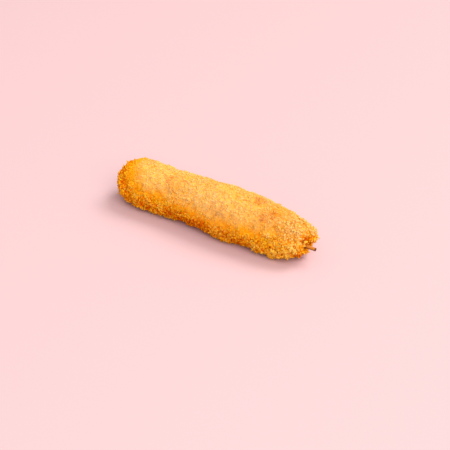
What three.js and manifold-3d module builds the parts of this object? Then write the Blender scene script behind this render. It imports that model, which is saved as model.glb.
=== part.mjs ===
// A panko-crusted corn dog lying on its side, with its bamboo skewer.
//
// Millimetres, +Z up. X runs along the body and the skewer leaves the body at +X.
// The origin is on the resting plane, under the middle of the body.
//
// crust    one solid: the crumb bed, which is a round body with two swellings, a blunt end
//          and a tapered end, roughened by relief, with loose-looking crumbs fused onto it
// skewer   a round stick, pointed inside the body and cut square outside it

import * as THREE from 'three';
import { mergeVertices } from 'three/addons/utils/BufferGeometryUtils.js';
import Module from 'manifold-3d';

// ---------------------------------------------------------------- driving dimensions

const TIP = { blunt: -85.6, skewer: 84 }; // where the crumb bed ends
const WAIST_RADIUS = 17.2; // crumb bed between the swellings
const BELLY = { x: 16, rise: 2.7, reach: 33.4 }; // the long swelling past the middle
const SHOULDER = { x: -58, rise: 1.25, reach: 15.2 }; // the short one by the blunt end
const BLUNT_END = { length: 22.4, power: 2.25 };
const TAPER = { from: 49.3, length: 38, power: 2.34, lost: 0.52 }; // share of the radius lost
const TAPER_RIM = { length: 6, power: 2.5 }; // rounds the flat end round the skewer
const SETTLE = 0.31; // thin stretches sink by this share of the radius they lack
const FLAT_DEPTH = 1.2; // crust pressed flat below the belly

const SKEWER = {
  radius: 1.25,
  cut: 92.2, // where its square end is along the body
  length: 88,
  point: 9, // length of the sharpened tip
  chamfer: 0.2,
  sides: 18,
  y: -2, // from the middle of the body
  drop: 4, // below the middle of the body
  clearance: 0.3, // to the crust, all round
};

// The end by the skewer is torn into lips, with a cleft round the skewer. Each form moves the
// end along X by its reach, and fades at its width from a point off the middle of the body.
const END_FORMS = [
  { y: 5.5, z: 3.2, reach: 5.2, width: 7 }, // far upper lip
  { y: -4.9, z: -9.5, reach: 1.2, width: 5 }, // near lower lip
  { y: -2, z: -4, reach: -2.4, width: 3 }, // pit round the skewer
  { y: -4.6, z: 0.6, reach: -2.4, width: 2 }, // cleft between the lips
];
const END_FROM = 60; // the forms fade in from here to the tip

const RINGS = 58;
const SIDES = 44;
const RELIEF = [
  { size: 12, height: 0.5 }, // soft lumps of batter
  { size: 3.2, height: 1.5 }, // crumbs set close together
];

// Broad lobes and hollows. Each stands on the smooth bed at a place along the body and an angle
// from the top towards +Y, rises or sinks there, and fades out over its reach.
const LOBES = [
  { x: -47, degrees: 36, reach: 5, rise: 0.9 },
  { x: -30, degrees: 32, reach: 8, rise: 0.9 },
  { x: 42, degrees: 24, reach: 10, rise: 1.4 },
  { x: 60, degrees: 31, reach: 5, rise: -0.6 },
  { x: -83, degrees: -76, reach: 6, rise: -1.6 },
  { x: -73, degrees: -129, reach: 8, rise: 1.3 },
  { x: -15, degrees: -136, reach: 13, rise: -1.6 },
  { x: 16, degrees: -138, reach: 9, rise: 1.2 },
  { x: 61, degrees: -140, reach: 6, rise: 1.3 },
  { x: 80, degrees: -160, reach: 6.5, rise: -2.2 }, // under corner of the near lip
  { x: 0, degrees: 180, reach: 8, rise: 1.6 }, // pressed flat where the body rests
];

const CRUMB = {
  count: 150,
  length: 4.8,
  spread: 0.45, // lengths vary by this share
  width: 0.62, // as a share of the length
  thickness: 0.45, // the same
  sides: 5,
  bands: 3, // of faces from tip to tip
  roughness: 0.28, // corners move in and out by this share
  coarser: 1.4, // added to the length at the skewer's end
  coarserFrom: 45, // how far before that end it starts
  tilt: 0.5, // largest lean off the surface, radians
  rise: 0.06, // from the surface to its middle, as a share of its length
  scatter: 0.4, // chance turn round the body, radians
  clearOfFloor: 3.2,
  clearOfSkewer: 5,
  seed: 20,
};

const CRUST_COLOUR = '#eba24a';
const BAMBOO_COLOUR = '#b98a4b';

const BELLY_RADIUS = WAIST_RADIUS + BELLY.rise;
const AXIS_HEIGHT = BELLY_RADIUS - FLAT_DEPTH;
const SKEWER_HEIGHT = AXIS_HEIGHT - SKEWER.drop;
const GOLDEN_ANGLE = Math.PI * (3 - Math.sqrt(5));

const OUTLINE_SAMPLES = 4000; // finer steps, from which the even ones are taken
const SLOPE_STEP = 0.05; // over which the bed's slopes are measured
const WELD = 1e-5; // corners nearer than this are one corner

const wasm = await Module();
wasm.setup();

// ---------------------------------------------------------------- repeatable chance

// A seeded stream of numbers between 0 and 1.
function randomStream(seed) {
  let state = seed;
  return () => {
    state = (state + 0x6d2b79f5) | 0;
    let mixed = Math.imul(state ^ (state >>> 15), 1 | state);
    mixed = (mixed + Math.imul(mixed ^ (mixed >>> 7), 61 | mixed)) ^ mixed;
    return ((mixed ^ (mixed >>> 14)) >>> 0) / 2 ** 32;
  };
}

// The same number between -1 and 1 for the same corner of a cubic lattice.
function cornerValue(i, j, k) {
  const wave = Math.sin(i * 127.1 + j * 311.7 + k * 74.7) * 43758.5453;
  return 2 * (wave - Math.floor(wave)) - 1;
}

// Smooth noise: the corner values of a lattice of this size, blended between its corners.
function noiseAt(point, size) {
  const place = point.clone().divideScalar(size);
  const low = place.clone().floor();
  const part = place.sub(low);
  let total = 0;
  for (let corner = 0; corner < 8; corner++) {
    const [i, j, k] = [corner & 1, (corner >> 1) & 1, corner >> 2];
    const share = (i ? ease(part.x) : 1 - ease(part.x))
      * (j ? ease(part.y) : 1 - ease(part.y))
      * (k ? ease(part.z) : 1 - ease(part.z));
    total += share * cornerValue(low.x + i, low.y + j, low.z + k);
  }
  return total;
}

// Rises smoothly from 0 to 1 as the share does.
function ease(share) {
  const t = THREE.MathUtils.clamp(share, 0, 1);
  return t * t * (3 - 2 * t);
}

// ---------------------------------------------------------------- the crumb bed

const swelling = (x, { x: centre, rise, reach }) => rise * Math.exp(-(((x - centre) / reach) ** 2));

// How far along a stretch that ends at a place: 0 before it and 1 at its end.
const intoEnd = (x, end, length) => THREE.MathUtils.clamp(1 - Math.abs(end - x) / length, 0, 1);

// A superellipse's height at this share of its length.
const roundOff = (share, power) => (1 - share ** power) ** (1 / power);

// The bed's radius at a place along the body.
function radiusAt(x) {
  const swollen = WAIST_RADIUS + swelling(x, BELLY) + swelling(x, SHOULDER);
  const blunt = roundOff(intoEnd(x, TIP.blunt, BLUNT_END.length), BLUNT_END.power);
  const tapered = 1 - TAPER.lost * intoEnd(x, TAPER.from + TAPER.length, TAPER.length) ** TAPER.power;
  const rim = roundOff(intoEnd(x, TIP.skewer, TAPER_RIM.length), TAPER_RIM.power);
  return swollen * blunt * tapered * rim;
}

// Stations at even steps along the outline, each with the bed's area up to it.
function outlineStations(count) {
  const fine = [];
  let length = 0;
  let area = 0;
  for (let i = 0; i <= OUTLINE_SAMPLES; i++) {
    const share = (1 - Math.cos(Math.PI * i / OUTLINE_SAMPLES)) / 2;
    const x = THREE.MathUtils.lerp(TIP.blunt, TIP.skewer, share);
    const r = i === 0 || i === OUTLINE_SAMPLES ? 0 : radiusAt(x);
    if (i > 0) {
      const last = fine[i - 1];
      const step = Math.hypot(x - last.x, r - last.r);
      length += step;
      area += step * (r + last.r) * Math.PI;
    }
    fine.push({ x, r, length, area });
  }
  return Array.from({ length: count + 1 }, (_, i) => stationWhere(fine, 'length', i / count));
}

// The station at this share of the whole length or area.
function stationWhere(stations, measure, share) {
  const target = share * stations.at(-1)[measure];
  const after = Math.max(1, stations.findIndex((station) => station[measure] >= target));
  const [a, b] = [stations[after - 1], stations[after]];
  const t = (target - a[measure]) / (b[measure] - a[measure]);
  return Object.fromEntries(Object.keys(a).map((key) => [key, a[key] + (b[key] - a[key]) * t]));
}

// A point of the smooth bed. The angle runs round the body from the top towards +Y.
function bedPoint({ x, r }, angle) {
  const y = r * Math.sin(angle);
  const z = r * Math.cos(angle) - SETTLE * (BELLY_RADIUS - r);
  const torn = END_FORMS.reduce((sum, form) => {
    const off = Math.hypot(y - form.y, z - form.z) / form.width;
    return sum + form.reach * Math.exp(-(off ** 2));
  }, 0);
  const share = ease(intoEnd(x, TIP.skewer, TIP.skewer - END_FROM));
  return new THREE.Vector3(x + torn * share, y, z + AXIS_HEIGHT);
}

// Outward direction of the smooth bed, from its slopes along and round the body.
function bedNormal(station, angle) {
  const ahead = Math.min(station.x + SLOPE_STEP, TIP.skewer - SLOPE_STEP);
  const behind = ahead - SLOPE_STEP;
  const along = bedPoint({ x: ahead, r: radiusAt(ahead) }, angle)
    .sub(bedPoint({ x: behind, r: radiusAt(behind) }, angle));
  const round = bedPoint(station, angle + SLOPE_STEP).sub(bedPoint(station, angle - SLOPE_STEP));
  return along.cross(round).normalize();
}

// How far the relief and the lobes lift or sink the bed at a point.
function reliefAt(point) {
  const noise = RELIEF.reduce((sum, { size, height }) => sum + height * noiseAt(point, size), 0);
  return LOBES.reduce((sum, { x, degrees, reach, rise }) => {
    const middle = bedPoint({ x, r: radiusAt(x) }, THREE.MathUtils.degToRad(degrees));
    return sum + rise * Math.exp(-((point.distanceTo(middle) / reach) ** 2));
  }, noise);
}

// The bed as a closed net of rings, with one point at each tip.
function crumbBed(stations) {
  const points = [];
  const faces = [];
  const addPoint = (station, angle) => {
    const point = bedPoint(station, angle);
    points.push(...point.addScaledVector(bedNormal(station, angle), reliefAt(point)));
  };
  addPoint(stations[0], 0);
  for (let ring = 1; ring < RINGS; ring++) {
    for (let side = 0; side < SIDES; side++) {
      addPoint(stations[ring], 2 * Math.PI * (side + ring % 2 / 2) / SIDES);
    }
  }
  addPoint(stations[RINGS], 0);
  const last = points.length / 3 - 1;
  const at = (ring, side) => 1 + (ring - 1) * SIDES + (side + SIDES) % SIDES;
  for (let side = 0; side < SIDES; side++) {
    faces.push(0, at(1, side), at(1, side + 1));
    faces.push(last, at(RINGS - 1, side + 1), at(RINGS - 1, side));
    for (let ring = 1; ring < RINGS - 1; ring++) {
      const shift = ring % 2; // odd rings are turned by half a side
      faces.push(at(ring, side), at(ring + 1, side + shift), at(ring, side + 1));
      faces.push(at(ring + 1, side + shift), at(ring + 1, side + 1 + shift), at(ring, side + 1));
    }
  }
  return new wasm.Manifold(new wasm.Mesh({
    numProp: 3, vertProperties: new Float32Array(points), triVerts: new Uint32Array(faces),
  }));
}

// ---------------------------------------------------------------- crumbs

// A three.js geometry whose faces share their corners.
function welded(geometry) {
  geometry.deleteAttribute('normal');
  geometry.deleteAttribute('uv');
  return mergeVertices(geometry, WELD);
}

// A closed three.js geometry as a solid that can be joined and cut.
function solidOf(geometry) {
  const { attributes, index } = welded(geometry);
  return new wasm.Manifold(new wasm.Mesh({
    numProp: 3,
    vertProperties: new Float32Array(attributes.position.array),
    triVerts: new Uint32Array(index.array),
  }));
}

// One crumb: a five-sided shard, pointed at both ends and dented at random, along local Y.
function crumbGeometry(length, random) {
  const geometry = welded(new THREE.SphereGeometry(1, CRUMB.sides, CRUMB.bands));
  const corners = geometry.attributes.position;
  for (let i = 0; i < corners.count; i++) {
    const swell = 1 + CRUMB.roughness * (2 * random() - 1);
    const corner = new THREE.Vector3().fromBufferAttribute(corners, i).multiplyScalar(swell);
    corners.setXYZ(i, ...corner);
  }
  return geometry.scale(length * CRUMB.width / 2, length / 2, length * CRUMB.thickness / 2);
}

// Crumbs at even steps of area, turned by the golden angle from one to the next, each lying
// along the surface at a chance angle with one tip raised. They grow towards the skewer.
function crumbSolids(stations) {
  const random = randomStream(CRUMB.seed);
  const crumbs = [];
  for (let i = 0; i < CRUMB.count; i++) {
    const station = stationWhere(stations, 'area', (i + 0.5) / CRUMB.count);
    const angle = i * GOLDEN_ANGLE + CRUMB.scatter * random();
    const coarser = CRUMB.coarser * ease(intoEnd(station.x, TIP.skewer, CRUMB.coarserFrom));
    const length = (CRUMB.length + coarser) * (1 + CRUMB.spread * (2 * random() - 1));
    const normal = bedNormal(station, angle);
    const base = bedPoint(station, angle);
    const turn = 2 * Math.PI * random();
    const tilt = CRUMB.tilt * random();
    const geometry = crumbGeometry(length, random);
    const nearSkewer = station.x > END_FROM
      && Math.hypot(base.y - SKEWER.y, base.z - SKEWER_HEIGHT) < CRUMB.clearOfSkewer;
    if (base.z < CRUMB.clearOfFloor || nearSkewer) continue;
    const stand = new THREE.Quaternion().setFromUnitVectors(new THREE.Vector3(0, 0, 1), normal);
    const lean = new THREE.Quaternion().setFromEuler(new THREE.Euler(tilt, 0, turn, 'ZXY'));
    const rise = reliefAt(base) + length * CRUMB.rise;
    const place = new THREE.Matrix4().compose(
      base.addScaledVector(normal, rise), stand.multiply(lean), new THREE.Vector3(1, 1, 1),
    );
    crumbs.push({ length, solid: solidOf(geometry.applyMatrix4(place)) });
  }
  crumbs.sort((a, b) => b.length - a.length);
  return crumbs.map(({ solid }) => solid);
}

// ---------------------------------------------------------------- skewer

// A turned solid of the skewer's shape along X, grown all round by a margin.
function skewerGeometry(margin) {
  const radius = SKEWER.radius + margin;
  const point = SKEWER.cut - SKEWER.length - margin;
  const cut = SKEWER.cut + margin;
  const profile = [
    [0, point],
    [radius, point + SKEWER.point],
    [radius, cut - SKEWER.chamfer],
    [radius - SKEWER.chamfer, cut],
    [0, cut],
  ].map(([r, along]) => new THREE.Vector2(r, along));
  return new THREE.LatheGeometry(profile, SKEWER.sides)
    .rotateZ(-Math.PI / 2)
    .translate(0, SKEWER.y, SKEWER_HEIGHT);
}

// ---------------------------------------------------------------- finished pieces

// A three.js geometry with flat faces from a solid.
function geometryOf(solid) {
  const { vertProperties, triVerts } = solid.getMesh();
  const geometry = new THREE.BufferGeometry();
  geometry.setAttribute('position', new THREE.BufferAttribute(vertProperties, 3));
  geometry.setIndex(new THREE.BufferAttribute(triVerts, 1));
  return geometry;
}

function crust() {
  const stations = outlineStations(RINGS);
  const length = 2 * (TIP.skewer - TIP.blunt);
  const floor = new THREE.BoxGeometry(length, length, AXIS_HEIGHT).translate(0, 0, -AXIS_HEIGHT / 2);
  const crumbed = wasm.Manifold.union([crumbBed(stations), ...crumbSolids(stations)]);
  const bore = solidOf(skewerGeometry(SKEWER.clearance));
  const pieces = crumbed.subtract(solidOf(floor)).subtract(bore).decompose();
  const solid = pieces.reduce((a, b) => (a.volume() > b.volume() ? a : b)); // without loose scraps
  const material = new THREE.MeshStandardMaterial({ color: CRUST_COLOUR, roughness: 0.75, metalness: 0 });
  const mesh = new THREE.Mesh(geometryOf(solid), material);
  mesh.name = 'crust';
  return mesh;
}

function skewer() {
  const material = new THREE.MeshStandardMaterial({ color: BAMBOO_COLOUR, roughness: 0.6, metalness: 0 });
  const mesh = new THREE.Mesh(geometryOf(solidOf(skewerGeometry(0))), material);
  mesh.name = 'skewer';
  return mesh;
}

const group = new THREE.Group();
group.add(crust(), skewer());

export default group;
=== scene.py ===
"""A panko-crusted corn dog on its bamboo skewer, lying on a pale floor.

The crumb bed, five kinds of crumb and the skewer are surfaces worked out with numpy. Sizes are
in millimetres, in the part's own frame, and become metres as each mesh is made. X runs along the
body, the skewer leaves it at +X, and Z is 0 on the floor.
"""

import logging
import math
from collections.abc import Mapping, Sequence
from dataclasses import dataclass
from enum import Enum, IntEnum
from typing import Any

import bpy
import numpy as np
from mathutils import Matrix, Vector


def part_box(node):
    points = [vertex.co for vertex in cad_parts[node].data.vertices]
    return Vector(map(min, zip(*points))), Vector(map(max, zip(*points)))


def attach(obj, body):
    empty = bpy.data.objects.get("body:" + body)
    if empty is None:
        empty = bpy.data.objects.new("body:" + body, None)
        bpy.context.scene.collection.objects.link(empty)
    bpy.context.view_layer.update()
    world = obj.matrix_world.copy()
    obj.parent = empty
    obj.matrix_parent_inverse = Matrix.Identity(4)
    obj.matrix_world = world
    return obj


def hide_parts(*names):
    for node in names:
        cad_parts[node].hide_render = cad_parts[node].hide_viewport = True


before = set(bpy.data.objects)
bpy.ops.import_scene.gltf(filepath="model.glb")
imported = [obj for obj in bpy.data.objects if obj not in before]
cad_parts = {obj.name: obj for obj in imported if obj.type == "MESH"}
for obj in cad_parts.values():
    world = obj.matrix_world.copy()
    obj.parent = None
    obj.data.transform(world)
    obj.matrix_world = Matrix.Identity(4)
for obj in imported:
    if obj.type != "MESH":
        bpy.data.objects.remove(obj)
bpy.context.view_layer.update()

MM = 0.001
BODY = "root"
GOLDEN_ANGLE = math.pi * (3 - math.sqrt(5))
# A direction that hardly any outward one is parallel to.
NEARLY_ALONG = (1.0, 0.03, 0.02)
# The share of a crumb's cell on the flat map that stays bare at each edge.
CELL_MARGIN = 0.06
log = logging.getLogger("corn_dog")

Array = np.ndarray
Colour = tuple[float, float, float]


# ------------------------------------------------------------------ small maths


class Channel(IntEnum):
    """The first set of chance values for each use of noise. Packed domes use three sets."""

    LUMPS = 0
    CLUSTERS = 5
    GRAINS = 9
    BROWNING = 21
    COARSENESS = 31
    FRYING = 41
    KNOTS = 61
    TUFTS = 71


def ease(share: Array) -> Array:
    """Rises smoothly from 0 to 1 as the share does: 3 t squared less 2 t cubed."""
    t = np.clip(share, 0.0, 1.0)
    return t * t * (3.0 - 2.0 * t)


def into_end(x: Array, end: float, length: float) -> Array:
    """How far along a stretch that ends at a place: 0 before it and 1 at its end."""
    return np.clip(1.0 - np.abs(end - x) / length, 0.0, 1.0)


def round_off(share: Array, power: float) -> Array:
    """A superellipse's height: 1 less the share to a power, all to the power's inverse."""
    return (1.0 - share**power) ** (1.0 / power)


def unit(vectors: Array) -> Array:
    """Each vector divided by its length."""
    return vectors / np.maximum(np.linalg.norm(vectors, axis=-1, keepdims=True), 1e-9)


def srgb(red: int, green: int, blue: int) -> Colour:
    """A screen colour of 0 to 255 a channel as linear light, by the usual screen curve.

    Args:
        red: Red, 0 to 255.
        green: Green, 0 to 255.
        blue: Blue, 0 to 255.

    Returns:
        The three linear values, each 0 to 1.
    """
    channels = (red / 255, green / 255, blue / 255)
    return tuple(c / 12.92 if c <= 0.04045 else ((c + 0.055) / 1.055) ** 2.4 for c in channels)


def lattice_values(corners: Array, channel: int) -> Array:
    """Repeatable values between 0 and 1 for the whole-number corners of a cubic lattice.

    The three numbers are multiplied by large primes, added, and folded on themselves twice. The
    lowest 24 bits are the value.

    Args:
        corners: Whole numbers, shape (..., 3).
        channel: Picks one of many independent sets of values.

    Returns:
        One value for each corner.
    """
    primes = np.array([73856093, 19349663, 83492791], np.int64)
    mixed = (corners.astype(np.int64) * primes).sum(-1) + channel * 2654435761
    mixed = (mixed ^ (mixed >> 13)) * 1274126177
    mixed = (mixed ^ (mixed >> 16)) & 0xFFFFFF
    return mixed / 0xFFFFFF


def smooth_noise(points: Array, size: float, channel: int) -> Array:
    """Smooth noise between -1 and 1: lattice values blended between the corners round a point.

    Args:
        points: Places in millimetres, shape (..., 3).
        size: The lattice's step, in millimetres.
        channel: Picks one of many independent noises.

    Returns:
        One value for each point.
    """
    place = points / size
    low = np.floor(place)
    part = ease(place - low)
    total = np.zeros(points.shape[:-1])
    for corner in np.ndindex(2, 2, 2):
        step = np.array(corner)
        share = np.where(step == 1, part, 1.0 - part).prod(-1)
        total += share * lattice_values(low + step, channel)
    return 2.0 * total - 1.0


def packed_domes(points: Array, size: float, channel: int, spread: float = 0.95) -> Array:
    """Domes packed side by side, one round a chance centre in each cell of a lattice.

    The value is the root of 1 less the square of the distance to the nearest centre, which is
    measured in spreads.

    Args:
        points: Places in millimetres, shape (..., 3).
        size: About how wide one dome is, in millimetres.
        channel: Picks one of many independent packings.
        spread: A dome's radius, as a share of the size.

    Returns:
        One value for each point, from 0 in the creases to 1 on a dome.
    """
    place = points / size
    low = np.floor(place)
    nearest = np.full(points.shape[:-1], np.inf)
    for corner in np.ndindex(3, 3, 3):
        cell = low + np.array(corner) - 1
        centre = cell + np.stack([lattice_values(cell, channel + i) for i in range(3)], -1)
        nearest = np.minimum(nearest, np.linalg.norm(place - centre, axis=-1))
    return np.sqrt(np.clip(1.0 - (nearest / spread) ** 2, 0.0, 1.0))


# ------------------------------------------------------------------ meshes


@dataclass(frozen=True)
class Tube:
    """The net of a closed tube: rings of points, joined, and drawn together at both ends.

    The points are the first tip, then each ring in turn, then the last tip.
    """

    rings: int
    sides: int

    @property
    def count(self) -> int:
        """How many points the net has."""
        return self.rings * self.sides + 2

    @property
    def ring_share(self) -> Array:
        """Each ring's share of the way from tip to tip."""
        return np.arange(1, self.rings + 1) / (self.rings + 1)

    @property
    def angles(self) -> Array:
        """Each side's angle, from the top towards +Y."""
        return 2 * math.pi * np.arange(self.sides) / self.sides

    def faces(self) -> list[tuple[Array, Array]]:
        """The faces, facing outwards: those between rings, then those at the tips.

        A corner is a ring and a side. The tips count as the rings before the first and after the
        last, and lie half a side on.

        Returns:
            For both kinds of face, the corners' point numbers and their places on a flat map.
        """
        ring, side = np.meshgrid(np.arange(self.rings - 1), np.arange(self.sides), indexing="ij")
        ring, side = ring.reshape(-1, 1) + [0, 1, 1, 0], side.reshape(-1, 1) + [0, 0, 1, 1]
        base, last = np.arange(self.sides)[:, None], self.rings - 1
        tip_ring = np.repeat([[-1, 0, 0], [last + 1, last, last]], self.sides, 0)
        tip_side = np.concatenate([base + [0.5, 0, 1], base + [0.5, 1, 0]])
        return [self._corners(ring, side), self._corners(tip_ring, tip_side)]

    def _corners(self, ring: Array, side: Array) -> tuple[Array, Array]:
        """Corners as point numbers and as shares of the way round and along.

        Args:
            ring: Each corner's ring.
            side: Each corner's side.

        Returns:
            Point numbers, and places with one more axis of two.
        """
        number = 1 + ring * self.sides + side.astype(int) % self.sides
        number = np.where(ring == self.rings, self.count - 1, np.where(ring < 0, 0, number))
        return number, np.stack([side / self.sides, (ring + 1) / (self.rings + 1)], -1)


def make_piece(
    name: str,
    points: Array,
    net: Tube,
    values: Mapping[str, Array],
    smooth: bool = True,
) -> bpy.types.Object:
    """Makes one object from copies of a tube, with a flat map that gives each copy its own cell.

    Args:
        name: The piece's name.
        points: Places in millimetres, shape (copies, points in the net, 3).
        net: How each copy's points are joined.
        values: Named numbers for the materials, each of shape (copies, points in the net).
        smooth: Whether faces are shaded as one smooth surface.

    Returns:
        The new object, at the origin, linked to the scene.
    """
    copies = len(points)
    first = net.count * np.arange(copies)[:, None, None]
    cells = math.ceil(math.sqrt(copies))
    cell = np.stack(np.divmod(np.arange(copies), cells), -1)[:, None, None, :]
    margin = 0.0 if copies == 1 else CELL_MARGIN
    corners, places, sizes = [], [], []
    for number, place in net.faces():
        corners.append((number[None] + first).ravel())
        places.append(((cell + margin + (1 - 2 * margin) * place[None]) / cells).ravel())
        sizes.append(np.full(copies * len(number), number.shape[1]))
    corner, size = np.concatenate(corners), np.concatenate(sizes)

    mesh = bpy.data.meshes.new(name)
    mesh.vertices.add(copies * net.count)
    mesh.vertices.foreach_set("co", (points * MM).astype(np.float32).ravel())
    mesh.loops.add(len(corner))
    mesh.loops.foreach_set("vertex_index", corner.astype(np.int32))
    mesh.polygons.add(len(size))
    mesh.polygons.foreach_set("loop_start", (np.cumsum(size) - size).astype(np.int32))
    mesh.polygons.foreach_set("use_smooth", np.full(len(size), smooth))
    layer = mesh.uv_layers.new(name="OFBake")
    layer.uv.foreach_set("vector", np.concatenate(places).astype(np.float32))
    for title, numbers in values.items():
        attribute = mesh.attributes.new(title, "FLOAT", "POINT")
        attribute.data.foreach_set("value", numbers.astype(np.float32).ravel())
    mesh.update(calc_edges=True)
    piece = bpy.data.objects.new(name, mesh)
    bpy.context.scene.collection.objects.link(piece)
    return piece


# ------------------------------------------------------------------ shaders


class Graph:
    """A material's nodes, made one by one round its Principled shader."""

    def __init__(self, name: str) -> None:
        """Starts a material with a shader and an output.

        Args:
            name: The material's name.
        """
        self.material = bpy.data.materials.new(name)
        self.material.use_nodes = True
        self.tree = self.material.node_tree
        self.tree.nodes.clear()
        self.shader = self.node("ShaderNodeBsdfPrincipled")
        self.node("ShaderNodeOutputMaterial", inputs={"Surface": self.shader.outputs["BSDF"]})

    def node(
        self,
        kind: str,
        settings: Mapping[str, Any] | None = None,
        inputs: Mapping[str | int, Any] | None = None,
    ) -> bpy.types.Node:
        """Adds a node, sets it up, then gives its sockets their values or links.

        Args:
            kind: The node's type.
            settings: The node's own properties. "stops" gives a ramp its places and colours.
            inputs: For each socket, a number, a colour, another node's socket or a Value.

        Returns:
            The new node.
        """
        made = self.tree.nodes.new(kind)
        for title, setting in (settings or {}).items():
            if title == "stops":
                self._set_stops(made.color_ramp, setting)
            else:
                setattr(made, title, setting)
        for title, given in (inputs or {}).items():
            self.feed(made.inputs[title], given)
        return made

    def feed(self, socket: bpy.types.NodeSocket, given: Any) -> None:
        """Links a socket to another one, or sets its value.

        Args:
            socket: The socket that takes it.
            given: A number, a colour, a vector, another node's socket or a Value.
        """
        source = given.socket if isinstance(given, Value) else given
        if isinstance(source, bpy.types.NodeSocket):
            self.tree.links.new(source, socket)
        elif isinstance(source, tuple) and socket.type == "RGBA":
            socket.default_value = (*source, 1.0)
        else:
            socket.default_value = source

    def finished(self, inputs: Mapping[str, Any]) -> bpy.types.Material:
        """Gives the shader its inputs.

        Args:
            inputs: For each socket's name, its value or link.

        Returns:
            The material.
        """
        for title, given in inputs.items():
            self.feed(self.shader.inputs[title], given)
        return self.material

    @staticmethod
    def _set_stops(ramp: bpy.types.ColorRamp, stops: Sequence[tuple[float, Colour]]) -> None:
        """Gives a ramp its stops.

        Args:
            ramp: The ramp.
            stops: Places and colours, in rising order.
        """
        while len(ramp.elements) < len(stops):
            ramp.elements.new(1.0)
        for element, (place, colour) in zip(ramp.elements, stops, strict=True):
            element.position = place
            element.color = (*colour, 1.0)

    def value(self, name: str) -> "Value":
        """The numbers that a piece's mesh carries under this name."""
        made = self.node("ShaderNodeAttribute", {"attribute_name": name})
        return Value(self, made.outputs["Fac"])

    def noise(self, size: float, detail: float) -> "Value":
        """Noise on object coordinates.

        Args:
            size: About how wide its blots are, in millimetres.
            detail: How many finer layers it has.

        Returns:
            A value that lies mostly between 0.3 and 0.7.
        """
        place = self.node("ShaderNodeTexCoord").outputs["Object"]
        inputs = {"Vector": place, "Scale": 1 / (size * MM), "Detail": detail}
        made = self.node("ShaderNodeTexNoise", inputs=inputs)
        return Value(self, made.outputs["Fac"])

    def bumped(self, height: "Value", strength: float, depth: float) -> bpy.types.NodeSocket:
        """The surface's direction as a height pattern tilts it.

        Args:
            height: The pattern, from 0 to 1.
            strength: How strong it looks, from 0 to 1.
            depth: How far apart 0 and 1 are, in millimetres.

        Returns:
            The socket that gives the direction.
        """
        inputs = {"Strength": strength, "Distance": depth * MM, "Height": height}
        return self.node("ShaderNodeBump", inputs=inputs).outputs["Normal"]

    def ramp(self, share: "Value", stops: Sequence[tuple[float, Colour]]) -> bpy.types.NodeSocket:
        """The colour at a share of the way along a row of stops."""
        made = self.node("ShaderNodeValToRGB", {"stops": stops}, {"Fac": share})
        return made.outputs["Color"]

    def mix(self, share: Any, first: Any, second: Any) -> bpy.types.NodeSocket:
        """A colour between two by a share. The node's colours are its sockets 6, 7 and 2."""
        made = self.node("ShaderNodeMix", {"data_type": "RGBA"}, {0: share, 6: first, 7: second})
        return made.outputs[2]


class Value:
    """A shader number, which adds Math nodes to its graph as it is used in sums."""

    def __init__(self, graph: Graph, socket: bpy.types.NodeSocket) -> None:
        """Wraps a socket.

        Args:
            graph: The graph that the socket is in.
            socket: The socket that gives the number.
        """
        self.graph = graph
        self.socket = socket

    def _with(self, operation: str, first: Any, second: Any) -> "Value":
        """The result of one Math node on two numbers or sockets."""
        made = self.graph.node("ShaderNodeMath", {"operation": operation}, {0: first, 1: second})
        return Value(self.graph, made.outputs[0])

    def __add__(self, other: Any) -> "Value":
        """This plus the other."""
        return self._with("ADD", self, other)

    __radd__ = __add__

    def __sub__(self, other: Any) -> "Value":
        """This less the other."""
        return self._with("SUBTRACT", self, other)

    def __rsub__(self, other: Any) -> "Value":
        """The other less this."""
        return self._with("SUBTRACT", other, self)

    def __mul__(self, other: Any) -> "Value":
        """This times the other."""
        return self._with("MULTIPLY", self, other)

    __rmul__ = __mul__

    def clamped(self) -> "Value":
        """This, held between 0 and 1."""
        return self._with("MINIMUM", self._with("MAXIMUM", self, 0.0), 1.0)


# ------------------------------------------------------------------ finishes


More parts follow.
